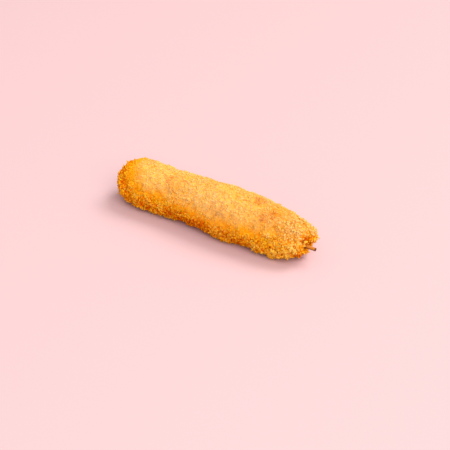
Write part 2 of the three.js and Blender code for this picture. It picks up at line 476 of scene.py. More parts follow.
@dataclass(frozen=True)
class FriedCrumb:
    """Fried breadcrumb: darker in its hollows and pale at its tips, which is painted shade and
    painted light, and browned in places.

    Lightly fried crumb runs from tan to cream, and deeply fried crumb from red-brown to gold; the
    deep ramp also paints the shade on the flanks and underneath. A mottle varies the tone, the
    frying and the browning, each by its own amount.
    """

    light: tuple[Colour, ...] = (
        srgb(217, 127, 8),
        srgb(242, 168, 56),
        srgb(246, 187, 101),
        srgb(249, 206, 137),
    )
    deep: tuple[Colour, ...] = (
        srgb(222, 94, 4),
        srgb(255, 159, 6),
        srgb(255, 180, 24),
        srgb(255, 194, 66),
    )
    places: tuple[float, ...] = (0.0, 0.35, 0.65, 1.0)
    brown: Colour = srgb(208, 98, 18)
    mottle_size: float = 2.2
    tone_mottle: float = 0.35
    fried_mottle: float = 0.3
    brown_mottle: float = 0.4
    fleck_size: float = 1.7
    fleck_from: float = 0.6
    fleck_edge: float = 5.0
    fleck_depth: float = 0.45
    pore_height: float = 0.4
    roughness: float = 0.7
    brown_gloss: float = 0.18
    shine: float = 0.012
    refraction: float = 1.42
    glow: float = 0.24
    glow_reach: float = 1.6
    glow_spread: tuple[float, float, float] = (1.0, 0.45, 0.12)

    def material(self, name: str, pore: float, pore_depth: float) -> bpy.types.Material:
        """The finish as a material, which reads each piece's tone, frying with its painted shade,
        and browning.

        Args:
            name: The material's name.
            pore: Width of the finest pores, in millimetres.
            pore_depth: How deep the pores look, from 0 to 1.

        Returns:
            The material.
        """
        graph = Graph(name)
        mottle = graph.noise(self.mottle_size, detail=3.0) - 0.5
        tone = (graph.value("tone") + mottle * self.tone_mottle).clamped()
        light, deep = (
            graph.ramp(tone, list(zip(self.places, colours, strict=True)))
            for colours in (self.light, self.deep)
        )
        # This value picks the deep ramp: real frying in chance blots, and painted shade down the
        # flanks, underneath, round the blunt end and at the crumbs' roots.
        fried_and_shade = (graph.value("fried_and_shade") + mottle * self.fried_mottle).clamped()
        spots = graph.noise(self.fleck_size, detail=1.0) - self.fleck_from
        flecks = (spots * self.fleck_edge).clamped() * self.fleck_depth
        browning = (graph.value("browning") + mottle * self.brown_mottle + flecks).clamped()
        pores = graph.noise(pore, detail=3.0)
        return graph.finished({
            "Base Color": graph.mix(browning, graph.mix(fried_and_shade, light, deep), self.brown),
            "Roughness": self.roughness - self.brown_gloss * browning,
            "Normal": graph.bumped(pores, pore_depth, self.pore_height),
            "Specular IOR Level": self.shine,
            "Subsurface Weight": self.glow,
            "Subsurface Radius": self.glow_spread,
            "Subsurface Scale": self.glow_reach * MM,
            "IOR": self.refraction,
        })


@dataclass(frozen=True)
class Bamboo:
    """Split bamboo: straw-coloured, with fine dark lines along it, oily in places, and with painted
    shade along its underside.
    """

    pale: Colour = srgb(222, 148, 52)
    dark: Colour = srgb(150, 78, 16)
    oiled_and_shaded: Colour = srgb(78, 24, 2)
    grain_share: float = 0.8
    fleck_share: float = 0.4
    fleck_size: float = 0.9
    dark_from: float = 0.1
    grain_bump: float = 0.5
    grain_depth: float = 0.1
    roughness: float = 0.55
    grain_roughness: float = 0.15
    shine: float = 0.2

    def material(self, name: str) -> bpy.types.Material:
        """The finish as a material, which reads the skewer's grain, and its oil and painted shade.

        Args:
            name: The material's name.

        Returns:
            The material.
        """
        graph = Graph(name)
        grain = graph.value("grain")
        flecks = graph.noise(self.fleck_size, detail=2.0) * self.fleck_share
        darkness = (grain * self.grain_share + flecks - self.dark_from).clamped()
        wood = graph.mix(darkness, self.pale, self.dark)
        return graph.finished({
            # The dark colour stands for oil and for the painted shade on the underside.
            "Base Color": graph.mix(graph.value("oil_and_shade").clamped(), wood, self.oiled_and_shaded),
            "Roughness": self.roughness + self.grain_roughness * grain,
            "Specular IOR Level": self.shine,
            "Normal": graph.bumped(grain, self.grain_bump, self.grain_depth),
        })


@dataclass(frozen=True)
class PaleFloor:
    """A plain matt floor."""

    colour: Colour = srgb(209, 177, 181)
    roughness: float = 0.9
    shine: float = 0.2

    def material(self, name: str) -> bpy.types.Material:
        """The finish as a material.

        Args:
            name: The material's name.

        Returns:
            The material.
        """
        inputs = {
            "Base Color": self.colour,
            "Roughness": self.roughness,
            "Specular IOR Level": self.shine,
        }
        return Graph(name).finished(inputs)


# ------------------------------------------------------------------ the body's form


@dataclass(frozen=True)
class Bell:
    """A swelling of the body, highest at a place along it and falling off as a bell curve."""

    x: float
    rise: float
    reach: float

    def at(self, x: Array) -> Array:
        """How much it adds to the radius at places along the body."""
        return self.rise * np.exp(-(((x - self.x) / self.reach) ** 2))


@dataclass(frozen=True)
class EndForm:
    """A lip or pit at the skewer's end, off the middle of the body."""

    y: float
    z: float
    reach: float
    width: float


@dataclass(frozen=True)
class BodyForm:
    """The smooth form under the crumbs.

    The radius is the waist's, plus a bell curve at the belly and one at the shoulder, times a
    superellipse at the blunt end, and at the skewer's end times a power curve and a superellipse.
    """

    blunt_tip: float = -85.6
    skewer_tip: float = 84.0
    waist: float = 17.2
    belly: Bell = Bell(16.0, 2.7, 33.4)
    shoulder: Bell = Bell(-58.0, 1.25, 15.2)
    blunt_length: float = 22.4
    blunt_power: float = 2.25
    taper_from: float = 49.3
    taper_length: float = 38.0
    taper_power: float = 2.34
    taper_lost: float = 0.52
    rim_length: float = 6.0
    rim_power: float = 2.5
    settle: float = 0.31
    flat_depth: float = 1.2
    end_from: float = 60.0
    end_forms: tuple[EndForm, ...] = (
        EndForm(5.5, 3.2, 5.2, 7.0),
        EndForm(-4.9, -9.5, 1.2, 5.0),
        EndForm(-2.0, -4.0, -2.4, 3.0),
        EndForm(-4.6, 0.6, -2.4, 2.0),
    )

    @property
    def belly_radius(self) -> float:
        """The largest radius."""
        return self.waist + self.belly.rise

    @property
    def axis_height(self) -> float:
        """How high the body's middle is, so that the belly is pressed flat on the floor."""
        return self.belly_radius - self.flat_depth

    def radius(self, x: Array) -> Array:
        """The radius, by the class's formula.

        Args:
            x: Places along the body.

        Returns:
            The radius at each.
        """
        swollen = self.waist + self.belly.at(x) + self.shoulder.at(x)
        blunt = round_off(into_end(x, self.blunt_tip, self.blunt_length), self.blunt_power)
        taper = into_end(x, self.taper_from + self.taper_length, self.taper_length)
        rim = round_off(into_end(x, self.skewer_tip, self.rim_length), self.rim_power)
        return swollen * blunt * (1.0 - self.taper_lost * taper**self.taper_power) * rim

    def outline(self, samples: int = 4000) -> tuple[Array, Array, Array, Array]:
        """A fine outline from tip to tip, with its places closer together at the tips.

        Args:
            samples: How many places it has.

        Returns:
            Places, radii, and the shares of the outline's length and of the area up to each.
        """
        half_turns = np.linspace(0.0, math.pi, samples)
        x = self.blunt_tip + (self.skewer_tip - self.blunt_tip) * (1 - np.cos(half_turns)) / 2
        r = self.radius(x)
        step = np.hypot(np.diff(x), np.diff(r))
        area = step * (r[1:] + r[:-1])
        shares = [np.concatenate([[0.0], np.cumsum(part)]) / part.sum() for part in (step, area)]
        return x, r, shares[0], shares[1]

    def smooth_point(self, x: Array, r: Array, angle: Array) -> Array:
        """Points of the form before its relief.

        The section is a circle whose middle sinks by a share of the radius that it lacks. Near the
        skewer each end form moves the surface along X by its reach, fading as a bell curve.

        Args:
            x: Places along the body.
            r: Radii there.
            angle: Angles from the top towards +Y.

        Returns:
            Points of shape (..., 3).
        """
        y = r * np.sin(angle)
        z = r * np.cos(angle) - self.settle * (self.belly_radius - r)
        torn = sum(
            form.reach * np.exp(-((y - form.y) ** 2 + (z - form.z) ** 2) / form.width**2)
            for form in self.end_forms
        )
        share = ease(into_end(x, self.skewer_tip, self.skewer_tip - self.end_from))
        return np.stack(np.broadcast_arrays(x + torn * share, y, z + self.axis_height), -1)

    def normal(self, x: Array, r: Array, angle: Array) -> Array:
        """Outward directions of the smooth form: its slope along, crossed with its slope round.

        Args:
            x: Places along the body.
            r: Radii there. At the tips a least radius stands in for them.
            angle: Angles from the top towards +Y.

        Returns:
            Directions of shape (..., 3).
        """
        step, least = 0.02, 0.05
        ahead = np.minimum(x + step, self.skewer_tip)
        behind = np.maximum(x - step, self.blunt_tip)
        in_front = self.smooth_point(ahead, self.radius(ahead), angle)
        along = in_front - self.smooth_point(behind, self.radius(behind), angle)
        open_r = np.maximum(r, least)
        turned = self.smooth_point(x, open_r, angle + step)
        around = turned - self.smooth_point(x, open_r, angle - step)
        return unit(np.cross(along, around))

    def pressed(self, points: Array, margin: float = 0.6) -> Array:
        """Points with what would sink into the floor squeezed against it.

        Below the margin the height becomes margin times e to the power of height / margin - 1.

        Args:
            points: Points of any shape (..., 3).
            margin: Height at which the squeezing starts.

        Returns:
            The points, all above the floor.
        """
        z = points[..., 2]
        squeezed = margin * np.exp(np.minimum(z / margin - 1.0, 0.0))
        return np.concatenate([points[..., :2], np.where(z < margin, squeezed, z)[..., None]], -1)


# ------------------------------------------------------------------ the crust


@dataclass(frozen=True)
class Ground:
    """Places on the smooth form, and what the crust is like at each.

    All but the points and normals are shares from 0 to 1: how far round towards the blunt end a
    place faces, how far down the flank it is, how near it is to either end, how smooth it has been
    rubbed, which also sets how much painted highlight it takes, and how coarse its crumbs are.
    """

    points: Array
    normal: Array
    blunt_face: Array
    flank: Array
    blunt_end: Array
    skewer_end: Array
    smooth: Array
    coarse: Array


@dataclass(frozen=True)
class Level:
    """A number that changes over the crust: a start, and what each share of a place adds."""

    start: float
    flank: float = 0.0
    coarse: float = 0.0
    skewer_end: float = 0.0

    def at(self, ground: Ground) -> Array:
        """The number at each place, as the start plus each share times what it adds."""
        sides = self.start + self.flank * ground.flank
        return sides + self.coarse * ground.coarse + self.skewer_end * ground.skewer_end


@dataclass(frozen=True)
class Spot:
    """A round place on the crust, at a place along the body and an angle from the top."""

    x: float
    degrees: float
    radius: float
    strength: float


@dataclass(frozen=True)
class Crust:
    """The crust that the crumbs make on the body: its relief, its coarseness, and its frying and
    painted shade.
    """

    form: BodyForm
    # Where the flanks and the ends are.
    flank_from: float = 0.6
    flank_width: float = 0.95
    blunt_reach: float = 42.0
    skewer_reach: float = 38.0
    rim_reach: float = 12.0
    # How coarse the crumbs are.
    coarse_start: float = 0.08
    coarse_flank: float = 0.62
    coarse_skewer: float = 0.5
    coarse_blots: float = 0.2
    coarse_blot_size: float = 13.0
    # How high the relief stands.
    lump_size: float = 12.0
    lump_height: float = 0.7
    cluster_size: float = 4.2
    cluster_height: Level = Level(0.5, coarse=1.0)
    grain_size: float = 1.5
    grain_height: float = 0.65
    dome_mean: float = 0.75
    knot_size: float = 4.0
    knot_height: float = 2.2
    knot_share: Level = Level(0.45, coarse=0.65, skewer_end=-0.35)
    knot_mean: float = 0.1
    flank_swell: float = 0.6
    inset: float = 0.35
    blunt_inset: float = 0.5
    rim_inset: float = 1.1
    rim_inset_top: float = 0.3
    # How raised a place counts as, which tells its tone: darker in the creases, as painted shade.
    raised_mean: float = 0.6
    raised_cluster: float = 0.7
    raised_grain: float = 0.5
    # How much darker the crust is painted where it turns under and at its ends: painted shade under
    # it and round the blunt end, a darkness of its own at the skewer's end, and a painted highlight
    # on smooth patches.
    under_from: float = 0.2
    under_width: float = 0.8
    under_tone: float = 0.75
    under_fade: float = 0.45
    blunt_tone: float = 0.58
    most_painted_shade: float = 0.6
    skewer_spared: float = 0.8
    skewer_tone: float = 0.1
    smooth_highlight: float = 0.2
    # How deeply it is fried, which down the sides, underneath and round the blunt end is painted
    # shade, and how brown it is.
    shade_from: float = 0.67
    shade_width: float = 0.7
    shade_face: float = 0.9
    shade_blunt: float = 0.7
    shade_depth: float = 1.3
    shade_skewer: float = 0.5
    fried_blots: float = 0.3
    fried_blot_size: float = 8.0
    brown_blots: float = 0.1
    brown_blot_size: float = 17.0
    knobs: tuple[Spot, ...] = (
        Spot(-47.0, 36.0, 5.0, 0.9),
        Spot(-30.0, 32.0, 8.0, 0.9),
        Spot(42.0, 24.0, 10.0, 1.4),
        Spot(60.0, 31.0, 5.0, -0.6),
        Spot(-83.0, -76.0, 6.0, -1.6),
        Spot(-73.0, -129.0, 8.0, 1.3),
        Spot(-15.0, -136.0, 13.0, -1.6),
        Spot(16.0, -138.0, 9.0, 1.2),
        Spot(61.0, -140.0, 6.0, 1.3),
        Spot(80.0, -160.0, 6.5, -2.2),
        Spot(0.0, 180.0, 8.0, 1.6),
    )
    brown_patches: tuple[Spot, ...] = (
        Spot(41.0, 6.0, 5.0, 0.5),
        Spot(57.0, -16.0, 3.5, 0.45),
        Spot(51.0, -38.0, 4.5, 0.35),
        Spot(-35.0, -25.0, 5.0, 0.3),
        Spot(-29.0, -45.0, 4.0, 0.25),
    )
    # Smooth patches: finer, flatter crumbs, and a painted highlight that makes them paler and less
    # fried.
    smooth_highlight_patches: tuple[Spot, ...] = (
        Spot(2.0, -62.0, 16.0, 0.75),
        Spot(26.0, -52.0, 14.0, 0.45),
        Spot(-46.0, -8.0, 14.0, 0.3),
    )

    def ground(self, x: Array, r: Array, angle: Array) -> Ground:
        """Places on the smooth form, with what the crust is like there.

        The flank share eases in as a place turns down or towards the blunt end. Crumbs are coarser
        down the flanks, towards the skewer and in chance blots, and finer where it is smooth.

        Args:
            x: Places along the body.
            r: Radii there.
            angle: Angles from the top towards +Y.

        Returns:
            The places and their shares.
        """
        points = self.form.smooth_point(x, r, angle)
        normal = self.form.normal(x, r, angle)
        blunt_face = np.clip(-normal[..., 0], 0.0, 1.0)
        flank = ease((self.flank_from - normal[..., 2] + blunt_face) / self.flank_width)
        blunt_end = ease(into_end(points[..., 0], self.form.blunt_tip, self.blunt_reach))
        skewer_end = ease(into_end(points[..., 0], self.form.skewer_tip, self.skewer_reach))
        smooth = sum(self._strength(points, patch) for patch in self.smooth_highlight_patches)
        blots = smooth_noise(points, self.coarse_blot_size, Channel.COARSENESS)
        coarse = self.coarse_start + self.coarse_flank * flank + self.coarse_skewer * skewer_end
        coarse = np.clip(coarse + self.coarse_blots * blots - smooth, 0.0, 1.0)
        return Ground(points, normal, blunt_face, flank, blunt_end, skewer_end, smooth, coarse)

    def _strength(self, points: Array, spot: Spot) -> Array:
        """A spot's strength, fading as a bell curve round the spot's place on the form.

        Args:
            points: Places on the form.
            spot: The spot.

        Returns:
            Its strength at each point.
        """
        x = np.array([spot.x])
        centre = self.form.smooth_point(x, self.form.radius(x), np.radians([spot.degrees]))
        off = np.linalg.norm(points - centre[0], axis=-1) / spot.radius
        return spot.strength * np.exp(-(off**2))

    def relief(self, ground: Ground) -> tuple[Array, Array]:
        """How far the crumb bed stands off the smooth form.

        Soft lumps, plus clusters and grains as packed domes and knots as the high parts of a
        noise, all lowered to their means, plus each knob. The flanks swell a little. The whole
        lies a little under the form, more so round the blunt end and the skewer's rim.

        Args:
            ground: The places.

        Returns:
            Heights in millimetres, and how raised each place is, from 0 in creases to 1 on domes.
        """
        points = ground.points
        lumps = smooth_noise(points, self.lump_size, Channel.LUMPS)
        clusters = packed_domes(points, self.cluster_size, Channel.CLUSTERS) - self.dome_mean
        grains = packed_domes(points, self.grain_size, Channel.GRAINS) - self.dome_mean
        knots = np.clip(smooth_noise(points, self.knot_size, Channel.KNOTS), 0.0, 1.0)
        knots = self.knot_height * self.knot_share.at(ground) * (knots - self.knot_mean)
        height = self.lump_height * lumps + self.grain_height * grains
        height = height + self.cluster_height.at(ground) * clusters + knots
        for knob in self.knobs:
            height = height + self._strength(points, knob)
        down = np.clip(-ground.normal[..., 2], 0.0, 1.0)
        rim = ease(into_end(points[..., 0], self.form.skewer_tip, self.rim_reach))
        swell = self.flank_swell * ground.flank * (1.0 - rim)
        inset = self.inset + self.rim_inset * rim * (self.rim_inset_top + down)
        inset = inset + self.blunt_inset * ease(ground.blunt_face)
        raised = self.raised_mean + self.raised_cluster * clusters + self.raised_grain * grains
        return height + swell - inset, np.clip(raised, 0.0, 1.0)

    def painted_shade_and_light(self, ground: Ground) -> Array:
        """How much darker the crust is painted than on top: painted shade, less a painted
        highlight.

        It darkens where it turns under, the less so the nearer the skewer, and on the flanks of
        the blunt end, up to a limit; this is painted shade on the sides that the light misses. The
        skewer's end keeps little of that and has a darkness of its own, and smooth patches are
        paler, which is a painted highlight.

        Args:
            ground: The places.

        Returns:
            What to take from the tone at each.
        """
        tip, length = self.form.blunt_tip, self.form.skewer_tip - self.form.blunt_tip
        along = (ground.points[..., 0] - tip) / length
        # Painted shade where the crust turns under, and on the flanks of the blunt end.
        under = ease((self.under_from - ground.normal[..., 2]) / self.under_width)
        under = self.under_tone * under * (1.0 - self.under_fade * along)
        blunt = self.blunt_tone * ground.blunt_end * ground.flank
        kept = 1.0 - self.skewer_spared * ground.skewer_end
        painted_shade_and_light = np.minimum(under + blunt, self.most_painted_shade) * kept
        return painted_shade_and_light + self.skewer_tone * ground.skewer_end - self.smooth_highlight * ground.smooth

    def fried_and_shade(self, ground: Ground) -> Array:
        """How deeply the crust is fried, with painted shade and a painted highlight in it.

        It is deep down the sides and round the blunt end, which is painted shade on the sides that
        face away from the light, less deep near the skewer, light on top and on smooth patches, the
        latter a painted highlight, and it varies in chance blots.

        Args:
            ground: The places.

        Returns:
            One value for each place, from light at 0 to deep at 1 and past them.
        """
        # Painted shade: the deep colour spreads as the surface turns down or towards the blunt end.
        sideways = self.shade_from - ground.normal[..., 2] + self.shade_face * ground.blunt_face
        sideways = ease((sideways + self.shade_blunt * ground.blunt_end) / self.shade_width)
        deep = (self.shade_depth - self.shade_skewer * ground.skewer_end) * sideways
        blots = smooth_noise(ground.points, self.fried_blot_size, Channel.FRYING)
        return deep - ground.smooth + self.fried_blots * blots

    def browning(self, ground: Ground) -> Array:
        """How brown the crust is: broad chance blots, and bell curves round each brown patch.

        Args:
            ground: The places.

        Returns:
            One value for each place, 0 or less for none and 1 for the most.
        """
        blots = smooth_noise(ground.points, self.brown_blot_size, Channel.BROWNING)
        brown = self.brown_blots * blots
        for patch in self.brown_patches:
            brown = brown + self._strength(ground.points, patch)
        return brown


def dress_crust(piece: bpy.types.Object, material: bpy.types.Material) -> None:
    """Gives a piece of the crust its material and its body, and hides the plain crust.

    Args:
        piece: The piece, which stands for the plain crust.
        material: Its material.
    """
    piece.data.materials.append(material)
    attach(piece, BODY)
    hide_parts("crust")


# ------------------------------------------------------------------ the crumb bed


@dataclass(frozen=True)
class CrumbBed:
    """The body that the loose crumbs stick to, replacing the plain crust."""

    crust: Crust
    finish: FriedCrumb = FriedCrumb()
    net: Tube = Tube(rings=400, sides=238)
    deep_tone: float = 0.15
    high_tone: float = 0.6
    flank_tone: float = 0.15
    painted_shade_share: float = 0.75
    skewer_gap_shade: float = 0.25

    def build(self) -> bpy.types.Object:
        """Makes the bed's mesh.

        Rings lie at even steps of the outline, and every point moves along its normal by the
        relief, then up off the floor.

        Returns:
            The bed.
        """
        x, r, length_share, _ = self.crust.form.outline()
        rings = np.repeat(self.net.ring_share, self.net.sides)
        shares = np.concatenate([[0.0], rings, [1.0]])
        angles = np.concatenate([[0.0], np.tile(self.net.angles, self.net.rings), [0.0]])
        at_x, at_r = (np.interp(shares, length_share, part) for part in (x, r))
        ground = self.crust.ground(at_x, at_r, angles)
        height, raised = self.crust.relief(ground)
        points = self.crust.form.pressed(ground.points + ground.normal * height[:, None])
        # Painted shade: the bed is darker in its creases, down the flanks and where the crust turns
        # under.
        tone = self.deep_tone + (self.high_tone - self.deep_tone) * raised
        tone = tone - self.flank_tone * ground.flank - self.painted_shade_share * self.crust.painted_shade_and_light(ground)
        values = {
            "tone": tone,
            # Near the skewer the bed, seen in the gaps between crumbs, is painted deeper as shade.
            "fried_and_shade": self.crust.fried_and_shade(ground) + self.skewer_gap_shade * ground.skewer_end,
            "browning": self.crust.browning(ground),
        }
        return make_piece("crumb_bed", points[None], self.net, values)

    def dress(self, piece: bpy.types.Object) -> None:
        """Gives the bed its finish and its body, and hides the plain crust."""
        dress_crust(piece, self.finish.material("fried_bed", pore=0.9, pore_depth=0.9))


# ------------------------------------------------------------------ the skewer


@dataclass(frozen=True)
class Skewer:
    """The round bamboo stick, pointed inside the body and sawn square outside it."""

    finish: Bamboo = Bamboo()
    net: Tube = Tube(rings=150, sides=48)
    radius: float = 1.25
    y: float = -2.0
    drop: float = 4.0
    point_length: float = 9.0
    point_power: float = 0.85
    face_rings: int = 12
    rounding: float = 0.22
    rounding_rings: int = 3
    fibres: int = 13
    fibre_depth: float = 0.035
    second_depth: float = 0.6
    second_fibres: float = 2.7
    second_turn: float = 1.3
    oil_from: float = 83.2
    oil_reach: float = 1.6
    hole_oil: float = 0.3
    end_oil: float = 0.8
    end_reach: float = 0.3
    # Painted shade along the stick's underside.
    under_shade: float = 1.3
    under_reach: float = 0.25

    def _profile(self, tip: float, end: float) -> tuple[Array, Array]:
        """The rings from the point to the middle of the sawn face.

        The radius grows as a power along the point, stays even, and is rounded off at the sawn
        end by a quarter circle. The last rings close the face.

        Args:
            tip: Where the point is along the body.
            end: Where the sawn face is.

        Returns:
            Each ring's place and radius.
        """
        shaft = self.net.rings - self.face_rings
        rounded = slice(shaft, shaft + self.rounding_rings)
        turn = np.linspace(0, math.pi / 2, self.rounding_rings + 1)[1:]
        along = np.full(self.net.rings, end)
        along[:shaft] = tip + (end - self.rounding - tip) * np.linspace(0, 1, shaft + 1)[1:]
        along[rounded] = end - self.rounding * (1 - np.sin(turn))
        sharpened = np.clip((along - tip) / self.point_length, 0, 1)
        radius = self.radius * sharpened**self.point_power
        radius[rounded] = self.radius - self.rounding * (1 - np.cos(turn))
        inner = self.radius - self.rounding
        flat_rings = self.face_rings - self.rounding_rings
        radius[rounded.stop :] = np.linspace(inner, 0, flat_rings + 2)[1:-1]
        return along, radius

    def build(self) -> bpy.types.Object:
        """Makes the stick within the box of its plain solid.

        Ridges run along it as two sines of the angle, and shrink with the radius.

        Returns:
            The skewer.
        """
        low, high = (np.array(corner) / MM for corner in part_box("skewer"))
        middle = (low + high) / 2
        along, radius = self._profile(low[0], high[0])
        angle = self.net.angles
        second = np.sin(self.second_fibres * self.fibres * angle + self.second_turn)
        ridges = (np.sin(self.fibres * angle) + self.second_depth * second) * self.fibre_depth
        fullness = np.clip(radius / self.radius, 0, 1)[:, None]
        ring_r = radius[:, None] * (1 + ridges[None] * fullness)
        x = np.broadcast_to(along[:, None], ring_r.shape)
        y = middle[1] + ring_r * np.sin(angle)[None]
        z = middle[2] + ring_r * np.cos(angle)[None]
        tips = [[[end, middle[1], middle[2]]] for end in (low[0], high[0])]
        points = np.concatenate([tips[0], np.stack([x, y, z], -1).reshape(-1, 3), tips[1]])
        values = self._values(points, middle, high[0])
        return make_piece("bamboo_skewer", points[None], self.net, values)

    def _values(self, points: Array, middle: Array, end: float) -> dict[str, Array]:
        """The stick's grain, oil and painted shade.

        The grain follows the ridges. Oil soaks the stick where it leaves the crust and at its sawn
        end, and painted shade darkens it along its underside.

        Args:
            points: The stick's points.
            middle: The middle of its box.
            end: Where the sawn face is.

        Returns:
            The named values for the material.
        """
        y, z = points[:, 1] - middle[1], middle[2] - points[:, 2]
        oil_and_shade = self.hole_oil * np.exp(-np.abs(points[:, 0] - self.oil_from) / self.oil_reach)
        oil_and_shade += self.end_oil * (points[:, 0] > end - self.end_reach)
        # Painted shade along the underside, where the light does not reach.
        oil_and_shade += self.under_shade * ease(z / self.radius + self.under_reach)
        return {"grain": 0.5 + 0.5 * np.sin(self.fibres * np.arctan2(y, -z)), "oil_and_shade": oil_and_shade}

    def keep_clear(self, points: Array, form: BodyForm) -> Array:
        """Crumb points with what would lie inside the stick pushed straight out to its surface.

        Args:
            points: Points of any shape (..., 3).
            form: The body's form, which says where the stick's end of it starts.

        Returns:
            The points, none inside the stick.
        """
        middle = np.array([self.y, form.axis_height - self.drop])
        off = points[..., 1:] - middle
        far = np.maximum(np.linalg.norm(off, axis=-1, keepdims=True), 1e-3)
        outside = middle + off * np.maximum(1.0, self.radius / far)
        along = points[..., :1]
        kept = np.where(along > form.end_from, outside, points[..., 1:])
        return np.concatenate([along, kept], -1)

    def dress(self, piece: bpy.types.Object) -> None:
        """Gives the skewer its finish and its body, and hides the plain skewer.

        Args:
            piece: The skewer.
        """
        piece.data.materials.append(self.finish.material("bamboo"))
        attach(piece, BODY)
        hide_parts("skewer")


# ------------------------------------------------------------------ loose crumbs


class Kind(Enum):
    """The kinds of crumb in the coating, coarse to fine."""

    FLAKE = "crumb_flakes"
    SLIVER = "crumb_slivers"
    NUGGET = "crumb_nuggets"
    CURL = "crumb_curls"
    GRAIN = "crumb_grains"


@dataclass(frozen=True)
class Breakage:
    """How a crumb is broken up by chance. All but the tips are shares of the crumb's dent."""

    narrower: float = 1.3
    wider: float = 0.7
    shifted: float = 0.6
    dented: float = 1.2
    raised: float = 0.8
    slid: float = 0.35
    tips: tuple[float, float] = (0.6, 0.9)


@dataclass(frozen=True)
class CrumbCover:
    """One kind of crumb, spread over the whole body.

    A crumb is a tube that is widest in its middle, bent along its length, with chance dents.
    Lengths are in millimetres and angles in degrees, apart from the scatter, which is in radians.
    """

    crust: Crust
    kind: Kind
    count: int
    net: Tube
    length: tuple[float, float]
    width: float
    thickness: float
    fullness: float
    bend: float
    sway: float
    lean: tuple[float, float]
    dent: float
    tone: tuple[float, float]
    flank_tone: float
    seed: int
    faceted: bool = False
    finish: FriedCrumb = FriedCrumb()
    skewer: Skewer = Skewer()
    breakage: Breakage = Breakage()
    scatter: float = 0.6
    round_power: float = 0.6
    slimness: tuple[float, float] = (0.75, 1.25)
    bend_share: tuple[float, float] = (0.3, 1.0)
    wave_share: float = 0.5
    # How long a crumb grows and how far it leans out.
    growth: Level = Level(0.6, coarse=0.52, skewer_end=0.15)
    stand: Level = Level(0.3, coarse=0.6)
    tuft_stand: Level = Level(0.3, coarse=0.9)
    tuft_size: float = 3.6
    steepest: float = 56.0
    # How high it sits.
    seat: float = 0.35
    tip_lift: float = 0.7
    sink: float = 0.12
    # Its tone, frying and browning, with painted shade at its roots, in the creases and down the
    # flanks, and painted light at its tips and on top.
    middle_tone: float = 0.6
    tone_spread: Level = Level(0.4, coarse=0.6)
    raised_tone: float = 0.25
    contrast: Level = Level(0.11, flank=0.2)
    outward_range: tuple[float, float] = (-1.0, 2.5)
    root_height: float = 1.0
    root_range: tuple[float, float] = (0.0, 2.0)
    root_shade: Level = Level(0.25, skewer_end=0.15)
    root_tone: float = 0.08
    top_painted_light: float = 0.1
    toasted_share: float = 0.1
    toasted_brown: float = 0.35

    def _spread(self, random: np.random.Generator) -> Ground:
        """Places spread evenly over the body's area, each a golden angle on from the last.

        Args:
            random: The source of chance.

        Returns:
            The crumbs' places on the crust.
        """
        x, r, _, area_share = self.crust.form.outline()
        index = np.arange(self.count)
        share = (index + random.uniform(0.0, 1.0, self.count)) / self.count
        angle = index * GOLDEN_ANGLE + random.normal(0.0, self.scatter, self.count)
        at_x, at_r = (np.interp(share, area_share, part) for part in (x, r))
        return self.crust.ground(at_x, at_r, angle)

    def _stance(self, random: np.random.Generator, ground: Ground) -> tuple[Array, Array, Array]:
        """How long each crumb is, how far it leans out of the surface, and which way it points.

        Crumbs in a tuft lean further out. Each points in a chance direction along the surface.

        Args:
            random: The source of chance.
            ground: The crumbs' places.

        Returns:
            Lengths, leans in radians, and each crumb's axes along, across and up.
        """
        length = random.uniform(*self.length, self.count) * self.growth.at(ground)
        tuft = np.clip(smooth_noise(ground.points, self.tuft_size, Channel.TUFTS), 0.0, 1.0)
        stand = self.stand.at(ground) + self.tuft_stand.at(ground) * tuft
        lean = np.minimum(random.uniform(*self.lean, self.count) * stand, self.steepest)
        lean = np.radians(lean)
        turn = random.uniform(0, 2 * math.pi, self.count)
        normal = ground.normal
        aside = unit(np.cross(normal, np.array(NEARLY_ALONG)))
        ahead = np.cross(aside, normal)
        flat = np.cos(turn)[:, None] * ahead + np.sin(turn)[:, None] * aside
        side = np.cross(normal, flat)
        main = np.cos(lean)[:, None] * flat + np.sin(lean)[:, None] * normal
        return length, lean, np.stack([main, side, np.cross(main, side)])

    def _broken_tubes(self, random: np.random.Generator) -> Array:
        """Crumbs in their own frames: X along, Y across and Z up, one unit from middle to tip.

        The width at x is 1 less |x| to the power of fullness, to the power that rounds it. Each
        ring is then widened or narrowed and shifted by chance, each point moves in or out and
        along, and each tip is drawn in as if broken off.

        Args:
            random: The source of chance.

        Returns:
            Points of shape (count, points in the net, 3).
        """
        net, broken, dent = self.net, self.breakage, self.dent
        along = 2 * net.ring_share - 1
        swell = (1 - np.abs(along) ** self.fullness) ** self.round_power
        ring = np.stack([np.sin(net.angles), np.cos(net.angles)], -1)
        across = swell[:, None, None] * ring[None]
        x = np.broadcast_to(along[:, None, None], across.shape[:2] + (1,))
        body = np.concatenate([x, across], -1).reshape(-1, 3)
        shape = np.concatenate([[[-1.0, 0.0, 0.0]], body, [[1.0, 0.0, 0.0]]])
        middle_rings = np.repeat(np.arange(net.rings), net.sides)
        ring_of = np.concatenate([[0], middle_rings, [net.rings - 1]])

        def factors(less: float, more: float, per_crumb: int) -> Array:
            """Chance factors round 1, from less below it to more above it, in dents."""
            return random.uniform(1 - less * dent, 1 + more * dent, (self.count, per_crumb, 1))

        girth = factors(broken.narrower, broken.wider, net.rings)
        shift = random.normal(0, broken.shifted * dent, (self.count, net.rings, 2))
        radial = factors(broken.dented, broken.raised, net.count)
        shapes = np.repeat(shape[None], self.count, 0)
        shapes[..., :1] += broken.slid * dent * random.uniform(-1, 1, radial.shape)
        shapes[..., 1:] = shapes[..., 1:] * girth[:, ring_of] * radial + shift[:, ring_of]
        shapes[:, [0, -1], 0] *= random.uniform(*broken.tips, (self.count, 2))
        return shapes

